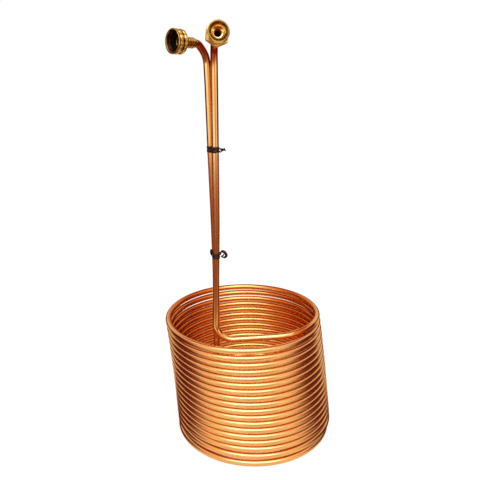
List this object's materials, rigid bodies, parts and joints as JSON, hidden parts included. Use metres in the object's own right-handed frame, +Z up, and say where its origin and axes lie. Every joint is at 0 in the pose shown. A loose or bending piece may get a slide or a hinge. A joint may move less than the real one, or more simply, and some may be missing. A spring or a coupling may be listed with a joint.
{
  "type": "immersion wort chiller",
  "caption": "Copper tube wound into a standing coil, with both ends rising side by side to two brass garden hose fittings, to cool hot wort from inside the kettle.",
  "frame": {"origin": "on the floor under the middle of the whole chiller's box", "axes": "+Z up along the risers, -Y towards the front where both hose fittings face, +X to the right"},
  "size_m": [0.2682, 0.2631, 0.6243],
  "materials": {
    "copper": "polished copper",
    "brass": "turned brass",
    "solder": "soft solder",
    "washer_rubber": "matt",
    "tie_plastic": "dark glossy ribbon"
  },
  "bodies": {
    "chiller": {"copper_tube": "copper", "inlet_stem": "brass", "inlet_solder": "solder", "outlet_adapter": "brass", "outlet_solder": "solder", "upper_twist_tie": "tie_plastic", "lower_twist_tie": "tie_plastic"},
    "swivel": {"inlet_swivel_nut": "brass", "hose_washer": "washer_rubber"}
  },
  "joints": [
    {"name": "nut_spin", "type": "hinge", "parent": "chiller", "child": "swivel", "pos_m": [-0.09035, -0.10671, 0.6015], "axis": [-0.7402, -0.6711, 0.0419], "continuous": true}
  ]
}
